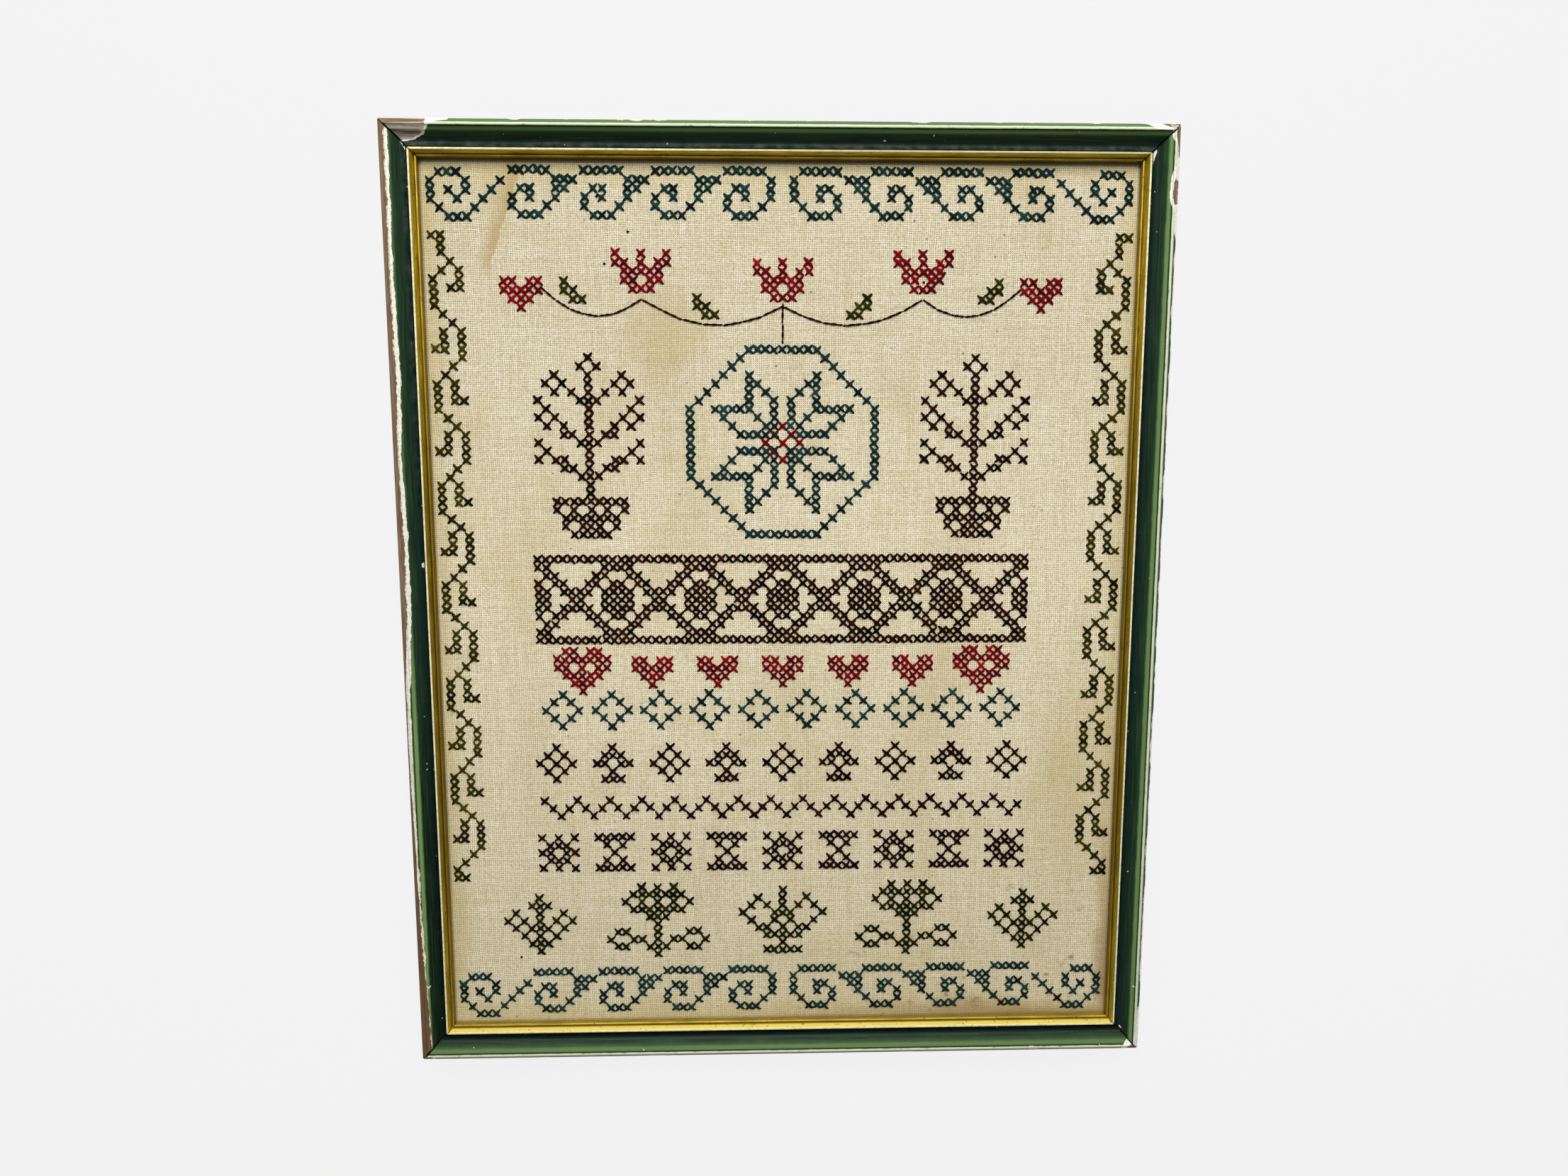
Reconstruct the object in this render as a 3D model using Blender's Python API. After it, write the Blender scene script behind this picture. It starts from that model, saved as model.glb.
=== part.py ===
"""Framed cross-stitch sampler: stretched linen in a mitred, painted and gilded wooden frame.

It lies on its back. +X is the picture's right, +Y its top and +Z points out of its face. The origin is
at the middle of the back, on the surface that the frame rests on. Run it with
blender --background --python part.py, or from Blender's text editor.
"""
import math

import bmesh
import bpy

MM = 0.001

# Linen: the stitches are counted over four threads, which lie a little closer up the cloth than across it
CROSS_W = 3.2 * MM
CROSS_H = 3.18 * MM
CROSSES_WIDE = 83.35
CROSSES_HIGH = 106.2
SIGHT_W = CROSSES_WIDE * CROSS_W
SIGHT_H = CROSSES_HIGH * CROSS_H
LINEN_T = 1.0 * MM

# Frame: heights are above the back, distances run outward from the sight edge
FRAME_DEPTH = 15.6 * MM
FACE_W = 12.1 * MM
SLIP_W = 2.7 * MM
FIT_GAP = 0.3 * MM
RABBET_W = 5.0 * MM
BOARD_T = 3.0 * MM
BOARD_BACK = 2.0 * MM
LINEN_BACK = BOARD_BACK + BOARD_T + FIT_GAP
LINEN_FRONT = LINEN_BACK + LINEN_T
SHOULDER_Z = LINEN_FRONT + FIT_GAP
RABBET_WALL = SLIP_W + FIT_GAP + RABBET_W

# Rail section: scoop, inner slope, crest and outer slope
SCOOP_EDGE_Z = 11.2 * MM
SCOOP_LOW = (4.9 * MM, 10.3 * MM)
SCOOP_END = (8.0 * MM, 13.9 * MM)
SCOOP_POINTS = 14
CREST_FOOT = (9.4 * MM, 14.85 * MM)
CREST_TOP = (10.0 * MM, FRAME_DEPTH)
CREST_R = 0.6 * MM
CREST_POINTS = 7
SLOPE_END = (FACE_W, 13.6 * MM)
BACK_EASE = 0.6 * MM

# Slip section: sight bead, groove, cove and cream fillet
BEAD_R = 0.5 * MM
BEAD_Z = 8.6 * MM
BEAD_POINTS = 7
GROOVE = (1.0 * MM, 8.7 * MM)
COVE_END = (1.75 * MM, 11.4 * MM)
COVE_HOLLOW = 0.18 * MM
COVE_POINTS = 5
FILLET_TOP_Z = 11.8 * MM
FILLET_EASE = 0.2 * MM

# Open mitres: the gap at the outer corner and at the sight corner
MITRE_GAPS = {
    "top_left": (0.45 * MM, 0.55 * MM),
    "top_right": (0.32 * MM, 0.70 * MM),
    "bottom_right": (0.45 * MM, 0.50 * MM),
    "bottom_left": (0.45 * MM, 0.55 * MM),
}

# Each side: the turn about Z, the half opening across and along it, and the corners at its two ends
SIDES = {
    "top": {"turn": 0.0, "reach": SIGHT_H / 2, "half": SIGHT_W / 2, "ends": ("top_left", "top_right")},
    "right": {"turn": -90.0, "reach": SIGHT_W / 2, "half": SIGHT_H / 2, "ends": ("top_right", "bottom_right")},
    "bottom": {"turn": 180.0, "reach": SIGHT_H / 2, "half": SIGHT_W / 2, "ends": ("bottom_right", "bottom_left")},
    "left": {"turn": 90.0, "reach": SIGHT_W / 2, "half": SIGHT_H / 2, "ends": ("bottom_left", "top_left")},
}

LINEN_EDGE_GAP = 0.5 * MM
BOARD_EDGE_GAP = 0.3 * MM


def clear_scene():
    for obj in list(bpy.data.objects):
        bpy.data.objects.remove(obj, do_unlink=True)


def principled(name, colour, roughness, metallic=0.0):
    material = bpy.data.materials.new(name)
    material.use_nodes = True
    shader = material.node_tree.nodes["Principled BSDF"]
    shader.inputs["Base Color"].default_value = (*colour, 1.0)
    shader.inputs["Roughness"].default_value = roughness
    shader.inputs["Metallic"].default_value = metallic
    return material


def arc(centre, radius, start_deg, end_deg, points):
    """Points on an arc, from start to end, as (distance outward, height)."""
    found = []
    for i in range(points):
        angle = math.radians(start_deg + (end_deg - start_deg) * i / (points - 1))
        found.append((centre[0] + radius * math.cos(angle), centre[1] + radius * math.sin(angle)))
    return found


def scoop(start, low, end, points):
    """The hollow of the moulding: two quarter curves that share the lowest point."""
    found = []
    for i in range(points):
        s = start[0] + (end[0] - start[0]) * i / (points - 1)
        side = start if s < low[0] else end
        share = min(abs(s - low[0]) / abs(side[0] - low[0]), 1.0)
        found.append((s, low[1] + (side[1] - low[1]) * share ** 2))
    return found


def cove(start, end, hollow, points):
    """A shallow hollow face between two points, without its ends."""
    found = []
    for i in range(1, points - 1):
        t = i / (points - 1)
        dip = hollow * math.sin(math.pi * t)
        found.append((start[0] + (end[0] - start[0]) * t + dip, start[1] + (end[1] - start[1]) * t))
    return found


def rail_section():
    inner = SLIP_W + FIT_GAP
    crest_centre = (CREST_TOP[0], CREST_TOP[1] - CREST_R)
    outline = [(inner, SHOULDER_Z)]
    outline += scoop((inner, SCOOP_EDGE_Z), SCOOP_LOW, SCOOP_END, SCOOP_POINTS)
    outline.append(CREST_FOOT)
    outline += arc(crest_centre, CREST_R, 165.0, 15.0, CREST_POINTS)
    outline.append(SLOPE_END)
    outline.append((FACE_W, BACK_EASE))
    outline.append((FACE_W - BACK_EASE, 0.0))
    outline.append((RABBET_WALL, 0.0))
    outline.append((RABBET_WALL, SHOULDER_Z))
    return outline


def slip_section():
    outline = [(0.0, SHOULDER_Z)]
    outline += arc((BEAD_R, BEAD_Z), BEAD_R, 180.0, 25.0, BEAD_POINTS)
    outline.append(GROOVE)
    outline += cove(GROOVE, COVE_END, COVE_HOLLOW, COVE_POINTS)
    outline.append(COVE_END)
    outline.append((COVE_END[0] + FILLET_EASE, FILLET_TOP_Z))
    outline.append((SLIP_W - FILLET_EASE, FILLET_TOP_Z))
    outline.append((SLIP_W, FILLET_TOP_Z - FILLET_EASE))
    outline.append((SLIP_W, SHOULDER_Z))
    return outline


def mitre_end(half, distance, corner):
    """How far along the side a section point reaches, with half of the corner's gap left open."""
    outer_gap, inner_gap = MITRE_GAPS[corner]
    gap = inner_gap + (outer_gap - inner_gap) * distance / FACE_W
    return half + distance - gap / math.sqrt(2.0)


def moulding(name, side, section, material):
    """Sweep a section along one side of the sight opening, mitred at both ends."""
    layout = SIDES[side]
    bm = bmesh.new()
    start = [bm.verts.new((0.0, layout["reach"] + s, z)) for s, z in section]
    face = bm.faces.new(start)
    swept = bmesh.ops.extrude_face_region(bm, geom=[face])
    finish = [v for v in swept["geom"] if isinstance(v, bmesh.types.BMVert)]
    for vert in start:
        vert.co.x = -mitre_end(layout["half"], vert.co.y - layout["reach"], layout["ends"][0])
    for vert in finish:
        vert.co.x = mitre_end(layout["half"], vert.co.y - layout["reach"], layout["ends"][1])
    bmesh.ops.recalc_face_normals(bm, faces=bm.faces)
    mesh = bpy.data.meshes.new(name)
    bm.to_mesh(mesh)
    bm.free()
    mesh.materials.append(material)
    mesh.shade_smooth()
    mesh.set_sharp_from_angle(angle=math.radians(35.0))
    piece = bpy.data.objects.new(name, mesh)
    piece.rotation_euler.z = math.radians(layout["turn"])
    bpy.context.collection.objects.link(piece)
    return piece


def slab(name, width, height, thickness, back, material):
    """A flat sheet or board, centred behind the opening."""
    bm = bmesh.new()
    bmesh.ops.create_cube(bm, size=1.0)
    bmesh.ops.scale(bm, vec=(width, height, thickness), verts=bm.verts)
    mesh = bpy.data.meshes.new(name)
    bm.to_mesh(mesh)
    bm.free()
    mesh.materials.append(material)
    piece = bpy.data.objects.new(name, mesh)
    piece.location.z = back + thickness / 2
    bpy.context.collection.objects.link(piece)
    return piece


def build():
    clear_scene()
    green = principled("green_paint", (0.022, 0.045, 0.028), 0.45)
    gilt = principled("old_gilding", (0.55, 0.38, 0.08), 0.38, 0.75)
    linen = principled("linen_cloth", (0.62, 0.52, 0.36), 0.9)
    board = principled("backing_wood", (0.30, 0.20, 0.12), 0.8)
    for side in SIDES:
        moulding(f"rail_{side}", side, rail_section(), green)
        moulding(f"slip_{side}", side, slip_section(), gilt)
    linen_margin = RABBET_WALL - LINEN_EDGE_GAP
    slab("linen", SIGHT_W + 2 * linen_margin, SIGHT_H + 2 * linen_margin, LINEN_T, LINEN_BACK, linen)
    board_margin = RABBET_WALL - BOARD_EDGE_GAP
    slab("backing_board", SIGHT_W + 2 * board_margin, SIGHT_H + 2 * board_margin, BOARD_T, BOARD_BACK, board)


build()
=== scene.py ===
# %% [markdown]
# A framed cross-stitch sampler, from the cloth outwards. The real thing is a piece of even-weave linen
# worked in cross stitch, stretched flat over a board and held by a small mitred frame of painted and
# gilded wood. The lesson builds the camera and light first, then the cloth, the stitches on it, the
# painted rails, the gilt slips and the board behind.

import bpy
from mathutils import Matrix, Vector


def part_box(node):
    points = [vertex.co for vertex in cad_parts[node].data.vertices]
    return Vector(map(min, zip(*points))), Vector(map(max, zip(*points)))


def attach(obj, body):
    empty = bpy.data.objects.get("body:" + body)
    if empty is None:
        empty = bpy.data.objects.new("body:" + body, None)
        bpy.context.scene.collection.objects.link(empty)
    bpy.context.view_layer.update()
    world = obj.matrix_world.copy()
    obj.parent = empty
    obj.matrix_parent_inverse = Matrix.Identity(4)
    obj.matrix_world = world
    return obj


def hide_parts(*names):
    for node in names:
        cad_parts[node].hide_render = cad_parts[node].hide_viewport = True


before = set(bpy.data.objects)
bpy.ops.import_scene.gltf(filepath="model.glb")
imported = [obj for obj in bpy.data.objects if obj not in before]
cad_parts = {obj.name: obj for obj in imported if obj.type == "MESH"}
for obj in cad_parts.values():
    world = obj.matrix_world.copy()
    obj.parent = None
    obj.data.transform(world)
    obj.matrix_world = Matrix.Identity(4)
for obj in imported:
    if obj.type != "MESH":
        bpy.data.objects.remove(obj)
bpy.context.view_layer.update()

# %% Modules and units
import math
import random

import bmesh
import bpy
from mathutils import Matrix, Vector, noise

MM = 0.001
scene = bpy.context.scene


def mesh_from(bm, name):
    """End a bmesh as a mesh."""
    mesh = bpy.data.meshes.new(name)
    bm.to_mesh(mesh)
    bm.free()
    return mesh


# %% [markdown]
# The photograph looks down on the sampler from a little above its middle, with a short lens that makes
# the far edge narrower. The camera is given by where it stands and the point it looks at. Blender's
# tracking helper would use +Z as "up", which is no help when looking down, so the turn is built from
# three axes, with the picture's own top as up.

# %% Camera
CAMERA_PLACE = Vector((-0.01193, 0.07071, 0.43685))
CAMERA_TARGET = Vector((0.0005, 0.0094, 0.0063))
LENS_MM = 25.65


def look(place, target, up=Vector((0.0, 1.0, 0.0))):
    """The matrix of something at place that looks at target with up towards the top of its view."""
    back = (place - target).normalized()
    right = up.cross(back).normalized()
    turn = Matrix((right, back.cross(right), back)).transposed()
    return Matrix.Translation(place) @ turn.to_4x4()


camera_data = bpy.data.cameras.new("camera")
camera_data.lens = LENS_MM
camera_data.sensor_width = 36.0
camera_data.clip_start = 0.01
camera = bpy.data.objects.new("camera", camera_data)
camera.matrix_world = look(CAMERA_PLACE, CAMERA_TARGET)
scene.collection.objects.link(camera)
scene.camera = camera
print("camera is", round((CAMERA_PLACE - CAMERA_TARGET).length * 1000), "mm from what it looks at")

# %% [markdown]
# Every finish below is a small graph of shader nodes. These helpers keep each graph readable. The first
# begins a material, and the others add to the one begun last. Colours are written as screen values from
# 0 to 255, because those are easy to compare with a photograph.

# %% Helpers for materials
SHEEN_ROUGHNESS = 0.4


def shade(red, green, blue):
    """A colour from its screen values as the linear numbers that a shader wants."""
    parts = [value / 255.0 for value in (red, green, blue)]
    return (*[p / 12.92 if p <= 0.04045 else ((p + 0.055) / 1.055) ** 2.4 for p in parts], 1.0)


def finish(name, roughness, metallic=0.0, sheen=0.0):
    """Begin a material. What is even all over is set on the Principled shader's own sockets."""
    global current
    current = bpy.data.materials.new(name)
    current.use_nodes = True
    shader = current.node_tree.nodes["Principled BSDF"]
    shader.inputs["Roughness"].default_value = roughness
    shader.inputs["Metallic"].default_value = metallic
    shader.inputs["Sheen Weight"].default_value = sheen
    shader.inputs["Sheen Roughness"].default_value = SHEEN_ROUGHNESS
    return current, shader


def wire(output, socket):
    current.node_tree.links.new(output, socket)


def node(kind, inputs=None, **settings):
    """Add a shader node. An input is a plain value or another node's output."""
    made = current.node_tree.nodes.new("ShaderNode" + kind)
    for name, value in settings.items():
        setattr(made, name, value)
    for socket, value in (inputs or {}).items():
        if isinstance(value, bpy.types.NodeSocket):
            wire(value, made.inputs[socket])
        else:
            made.inputs[socket].default_value = value
    return made


def calc(operation, a, b=0.0):
    return node("Math", {0: a, 1: b}, operation=operation).outputs[0]


def times(value, *factors):
    for factor in factors:
        value = calc("MULTIPLY", value, factor)
    return value


def plus(value, other):
    return calc("ADD", value, other)


def minus(value, other):
    return calc("SUBTRACT", value, other)


def absolute(value):
    return calc("ABSOLUTE", value)


def fade(value, low, high):
    """0 at low and 1 at high, with a soft start and end; low may be the larger one."""
    inputs = {"Value": value, "From Min": low, "From Max": high}
    return node("MapRange", inputs, interpolation_type="SMOOTHSTEP").outputs["Result"]


def band(value, start, full, waning, end):
    """1 between full and waning, and 0 before start and after end."""
    return times(fade(value, start, full), fade(value, end, waning))


def blend(share, first, second, mode="MIX"):
    inputs = {0: share, 6: first, 7: second}
    return node("Mix", inputs, data_type="RGBA", blend_type=mode).outputs[2]


def squeezed(vector, scale, location=(0.0, 0.0, 0.0)):
    return node("Mapping", {"Vector": vector, "Scale": scale, "Location": location}).outputs["Vector"]


def cloud(vector, scale, detail=3.0, roughness=0.55):
    inputs = {"Vector": vector, "Scale": scale, "Detail": detail, "Roughness": roughness}
    return node("TexNoise", inputs).outputs["Fac"]


def streaks(vector, scales, detail=3.0, roughness=0.55):
    """Noise with a scale of its own along each axis."""
    return cloud(squeezed(vector, scales), 1.0, detail, roughness)


def reading(name):
    """A number that the piece's mesh carries at its points."""
    return node("Attribute", attribute_name=name).outputs["Fac"]


def raise_by(shader, height, strength, distance):
    """Bump the surface by a height that runs from 0 to 1."""
    inputs = {"Height": height, "Strength": strength, "Distance": distance}
    wire(node("Bump", inputs).outputs["Normal"], shader.inputs["Normal"])


# %% [markdown]
# A plain pale floor and soft light. The sampler was lit from above its top edge, so the slopes that face
# the picture's top are bright and those that face its bottom are dull. A wide soft panel there does most
# of it, and the world fills the shadows. The floor gives off most of its own light, as a bright sweep in
# a studio does, so that only a faint shadow shows round the frame.

# %% Floor, world and lights
FLOOR_DROP = 0.3 * MM
FLOOR_GLOW = 0.85
WORLD_LIGHT = 0.30
PANEL_PLACE = Vector((0.0, 0.78, 0.76))
PANEL_SIZE = (0.9, 0.5)
PANEL_POWER = 13.6

pale_floor, floor_shader = finish("pale_floor", 0.9)
floor_shader.inputs["Base Color"].default_value = (0.05, 0.05, 0.05, 1.0)
floor_shader.inputs["Specular IOR Level"].default_value = 0.0
floor_shader.inputs["Emission Color"].default_value = (1.0, 1.0, 1.0, 1.0)
floor_shader.inputs["Emission Strength"].default_value = FLOOR_GLOW

bm = bmesh.new()
bmesh.ops.create_grid(bm, x_segments=1, y_segments=1, size=3.0)
bmesh.ops.translate(bm, vec=(0.0, 0.0, -FLOOR_DROP), verts=bm.verts)
floor_mesh = mesh_from(bm, "floor")
floor_mesh.materials.append(pale_floor)
floor = bpy.data.objects.new("floor", floor_mesh)
scene.collection.objects.link(floor)

world = bpy.data.worlds.new("studio")
world.use_nodes = True
world.node_tree.nodes["Background"].inputs["Color"].default_value = (0.96, 0.98, 1.0, 1.0)
world.node_tree.nodes["Background"].inputs["Strength"].default_value = WORLD_LIGHT
scene.world = world


def soft_panel(name, place, size, power):
    data = bpy.data.lights.new(name, "AREA")
    data.shape = "RECTANGLE"
    data.size, data.size_y = size
    data.energy = power
    panel = bpy.data.objects.new(name, data)
    panel.matrix_world = look(place, Vector((0.0, 0.0, 0.0)))
    scene.collection.objects.link(panel)
    return panel


soft_panel("panel_above_top", PANEL_PLACE, PANEL_SIZE, PANEL_POWER)
scene.view_settings.view_transform = "Standard"

# %% [markdown]
# A helper that ends every piece. It turns a bmesh into an object at the origin, gives it its material,
# hangs it on the body it rides on and hides the plain solid that it stands for.

# %% Helper: make a piece
def piece_from(bm, name, material, stands_for):
    return piece_of(mesh_from(bm, name), name, material, stands_for)


def piece_of(mesh, name, material, stands_for):
    mesh.materials.clear()
    mesh.materials.append(material)
    piece = bpy.data.objects.new(name, mesh)
    scene.collection.objects.link(piece)
    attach(piece, "root")
    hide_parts(stands_for)
    triangles = sum(len(face.vertices) - 2 for face in mesh.polygons)
    print(f"{name}: {triangles} triangles")
    return piece


# %% [markdown]
# The linen is one flat sheet, a millimetre thick with its stitches' backs. Stretched cloth is never quite
# flat: it swells a little between its edges and sinks under the lip of the frame, so the top face of a
# fine grid is moved by slow noise before a solidify gives it its thickness.

# %% Linen sheet
linen_low, linen_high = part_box("linen")
LINEN_W = linen_high.x - linen_low.x
LINEN_H = linen_high.y - linen_low.y
LINEN_TOP = linen_high.z
LINEN_T = linen_high.z - linen_low.z
SWELL = 0.10 * MM
SWELL_PITCH = 0.045


def cloth_rise(x, y):
    """How far the cloth's face lies above or below its flat height."""
    return SWELL * noise.noise(Vector((x / SWELL_PITCH, y / SWELL_PITCH, 2.7)))


bm = bmesh.new()
bmesh.ops.create_grid(bm, x_segments=110, y_segments=138, size=0.5)
bmesh.ops.scale(bm, vec=(LINEN_W, LINEN_H, 1.0), verts=bm.verts)
for vert in bm.verts:
    vert.co.z = LINEN_TOP + cloth_rise(vert.co.x, vert.co.y)
for face in bm.faces:
    face.smooth = True
bmesh.ops.solidify(bm, geom=bm.faces[:], thickness=LINEN_T)
bmesh.ops.recalc_face_normals(bm, faces=bm.faces)
linen_heights = [vert.co.z for vert in bm.verts]
print("linen from", round(min(linen_heights) / MM, 2), "to", round(max(linen_heights) / MM, 2), "mm")

# %% [markdown]
# The weave is a material, because a thread is only 0.8 mm wide and there are hundreds of them. Two sine
# waves, one for each direction, give the round backs of warp and weft. Their product changes sign at
# every crossing, which says which of the two lies on top. Where both are low there is a pinhole. Slow
# noise lets the threads wander and makes some thicker and paler than others, as hand-spun linen has.

# %% Linen finish: weave
THREAD_W = 0.80 * MM
THREAD_H = 0.795 * MM
linen_cloth, linen_shader = finish("linen_cloth", 0.92, sheen=0.15)
linen_shader.inputs["Specular IOR Level"].default_value = 0.2
cloth_place = node("TexCoord").outputs["Object"]
cloth_axes = node("SeparateXYZ", {0: cloth_place})


def thread_count(axis, pitch, wander_scale, wander):
    """How many threads lie between the cloth's middle and a point, with a slow wander."""
    drift = minus(cloud(cloth_place, wander_scale, 2.0), 0.5)
    straight = calc("DIVIDE", cloth_axes.outputs[axis], pitch)
    return plus(straight, times(drift, wander))


warp_count = thread_count("X", THREAD_W, 60.0, 2.2)
weft_count = thread_count("Y", THREAD_H, 75.0, 2.0)
warp_wave = calc("SINE", times(warp_count, math.pi))
weft_wave = calc("SINE", times(weft_count, math.pi))
over_under = times(warp_wave, weft_wave, 0.22)


def thread_height(wave, lift_mode):
    """The round back of a thread, higher where it lies on top."""
    return times(absolute(wave), calc(lift_mode, 0.78, over_under))


warp_height = thread_height(warp_wave, "ADD")
weft_height = thread_height(weft_wave, "SUBTRACT")
weave_height = calc("MAXIMUM", warp_height, weft_height)
warp_on_top = fade(minus(warp_height, weft_height), -0.08, 0.08)
thread_axes = node("CombineXYZ", {0: warp_count, 1: weft_count})
warp_run = node("CombineXYZ", {0: calc("FLOOR", warp_count), 1: weft_count})
weft_run = node("CombineXYZ", {0: warp_count, 1: calc("FLOOR", weft_count)})
warp_slub = streaks(warp_run.outputs[0], (0.73, 0.03, 1.0), 2.0)
weft_slub = streaks(weft_run.outputs[0], (0.03, 0.73, 1.0), 2.0)
slub = node("Mix", {0: warp_on_top, 2: weft_slub, 3: warp_slub}).outputs[0]
tightness = streaks(thread_axes.outputs[0], (0.7, 0.7, 1.0), 1.0)
hole_edge = minus(1.03, times(tightness, 0.85))
pinhole = fade(calc("DIVIDE", weave_height, hole_edge), 0.98, 0.34)
furrow_shade = fade(weave_height, 0.80, 0.40)

# %% Linen finish: colour and stains
LINEN_WHITE = shade(250, 243, 224)
LINEN_PALE = shade(254, 247, 220)
LINEN_MID = shade(226, 214, 176)
LINEN_DARK_FIBRE_AND_FURROW_SHADE = shade(180, 160, 112)
LINEN_HOLE = shade(104, 78, 42)
LINEN_YELLOW = shade(196, 172, 112)
LINEN_SOIL_AND_SHADE = shade(182, 160, 88)
LINEN_STAIN = shade(186, 152, 92)
LIP_SHADOW = shade(70, 54, 28)
SPECK_BROWN = shade(92, 66, 40)
FOX_BROWN = shade(134, 98, 50)
RIM_BROWN = shade(140, 104, 54)
OPENING_HALF_W = 0.1334
OPENING_HALF_H = 0.1689


def blot(place_mm, size_mm, strength):
    """A soft stain: 0 outside and strength in its middle, with an uneven edge."""
    scale = (1000.0 / size_mm[0], 1000.0 / size_mm[1], 0.0)
    moved = (-place_mm[0] / size_mm[0], -place_mm[1] / size_mm[1], 0.0)
    local = squeezed(cloth_place, scale, moved)
    reach = node("VectorMath", {0: local}, operation="LENGTH").outputs["Value"]
    ragged = times(cloud(cloth_place, 130.0, 4.0), 1.1)
    inside = fade(plus(reach, ragged), 1.65, 0.75)
    return times(inside, strength)


# Threads, thick white slubs, single dark fibres, painted shade in the furrows between threads, and the
# pinholes
colour = blend(fade(slub, 0.24, 0.72), LINEN_MID, LINEN_PALE)
colour = blend(times(fade(slub, 0.60, 0.66), 0.9), colour, LINEN_WHITE)
fibre = fade(cloud(cloth_place, 1150.0, 2.0, 0.6), 0.44, 0.66)
colour = blend(times(fibre, 0.42), colour, LINEN_DARK_FIBRE_AND_FURROW_SHADE)
# Painted shade: the furrows between the threads are darkened where their shadow falls
colour = blend(times(furrow_shade, 0.46), colour, LINEN_DARK_FIBRE_AND_FURROW_SHADE)
streak = streaks(cloth_place, (24.0, 9.0, 1.0), 5.0, 0.6)
colour = blend(times(fade(streak, 0.45, 0.72), 0.30), colour, LINEN_YELLOW)
colour = blend(times(pinhole, 0.85), colour, LINEN_HOLE)

# Blots, each with its place and size in millimetres
for blot_place, blot_size, blot_tone, blot_strength in (
    ((-44.0, 108.0), (19.0, 24.0), LINEN_YELLOW, 0.42),
    ((-106.0, 152.0), (9.0, 22.0), LINEN_YELLOW, 0.30),
    ((-118.0, 60.0), (12.0, 40.0), LINEN_YELLOW, 0.22),
    ((112.0, -70.0), (20.0, 60.0), LINEN_SOIL_AND_SHADE, 0.20),
    ((30.0, -150.0), (90.0, 26.0), LINEN_SOIL_AND_SHADE, 0.12),
):
    colour = blend(blot(blot_place, blot_size, blot_strength), colour, blot_tone)

# The tide line at the upper left, which is sharp on its right and fades out to its left
across_mm = times(cloth_axes.outputs["X"], 1000.0)
up_mm = times(cloth_axes.outputs["Y"], 1000.0)
below_top = minus(170.0, up_mm)
tide_bend = times(below_top, below_top, 0.0066)
tide_wander = times(cloud(cloth_place, 95.0, 4.0), 9.0)
from_tide = plus(plus(across_mm, 95.2), tide_bend)
from_tide = plus(from_tide, tide_wander)
tide_sides = band(from_tide, -6.0, 0.8, 1.2, 1.9)
tide_ends = band(up_mm, 124.0, 134.0, 164.0, 172.0)
colour = blend(times(tide_sides, tide_ends, 0.62), colour, LINEN_STAIN)

# Greyer towards the top and browner towards the bottom; browner at the edges too, as soil and painted shade
# by the frame
colour = blend(fade(up_mm, -20.0, 150.0), colour, shade(235, 235, 236), "MULTIPLY")
lower = fade(cloth_axes.outputs["Y"], 0.06, -0.18)
colour = blend(times(lower, 0.12), colour, LINEN_SOIL_AND_SHADE)
side_share = absolute(calc("DIVIDE", cloth_axes.outputs["X"], OPENING_HALF_W))
end_share = absolute(calc("DIVIDE", cloth_axes.outputs["Y"], OPENING_HALF_H))
edge_share = calc("MAXIMUM", side_share, end_share)
edge_noise = times(cloud(cloth_place, 40.0, 5.0), 0.08)
edge_soil_and_shade = fade(plus(edge_share, edge_noise), 0.96, 1.045)
# Soil and painted shade: the cloth darkens close to the frame's edge
colour = blend(times(edge_soil_and_shade, 0.40), colour, LINEN_SOIL_AND_SHADE)

# Painted shadow: the dark line under the lip of the frame, deeper along the top
under_top = fade(up_mm, 166.2, 167.6)
lip_start = minus(0.9935, times(under_top, 0.0045))
lip_painted_shadow = fade(edge_share, lip_start, 0.9985)
lip_share = plus(0.30, times(under_top, 0.55))
colour = blend(times(lip_painted_shadow, lip_share), colour, LIP_SHADOW)

# Specks all over, and foxing and a dirty rim towards the lower right
speck = fade(cloud(cloth_place, 620.0, 0.0), 0.845, 0.87)
colour = blend(times(speck, 0.7), colour, SPECK_BROWN)
foxed_corner = times(fade(across_mm, -40.0, 110.0), fade(up_mm, -70.0, -160.0))
foxing = fade(cloud(cloth_place, 200.0, 2.0), 0.62, 0.76)
colour = blend(times(foxing, foxed_corner, 0.80), colour, FOX_BROWN)
dirty_rim = fade(plus(edge_share, edge_noise), 0.99, 1.035)
colour = blend(times(dirty_rim, foxed_corner, 0.60), colour, RIM_BROWN)
wire(colour, linen_shader.inputs["Base Color"])
raise_by(linen_shader, weave_height, 0.55, 0.22 * MM)
linen = piece_from(bm, "linen_sheet", linen_cloth, "linen")

# %% [markdown]
# Every motif is a small chart, as in a pattern book: one sign is one cross. A chart is put down by the
# place of its top left cross, counted in crosses from the left and top edges of the opening, and may be
# mirrored. The border scrolls and the leafy vines are traditional repeats. The middle has motifs of the
# usual sampler kind: garland, star, trees, hearts, bands, carnations and sprigs.

# %% Charts: borders
CROSS_W = 3.2 * MM
CROSS_H = 3.18 * MM
CROSSES_WIDE = 83.35
CROSSES_HIGH = 106.2

SCROLL = """
XXXXX...
.....XXX
.XX..XX.
X.X..X..
X...X...
.XXX....
"""
SCROLL_LAST = """
XXXXX.
.....X
.XX..X
X.X..X
X...X.
.XXX..
"""
SCROLL_END = """
..XXX.....
.X...X...X
.X.X.X..X.
.X..X..X..
..X...X...
...XXX....
"""
VINE = """
.X..
X.X.
X.X.
X.XX
X...
.X..
..X.
.X.X
.X.X
XX.X
...X
..X.
"""
VINE_HEAD = """
XX..
.X..
.X..
..X.
.X.X
X..X
X.XX
X...
X...
.X..
..X.
.X.X
.X.X
XX.X
...X
..X.
"""
VINE_FOOT = """
.X..
X...
XX..
"""

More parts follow.
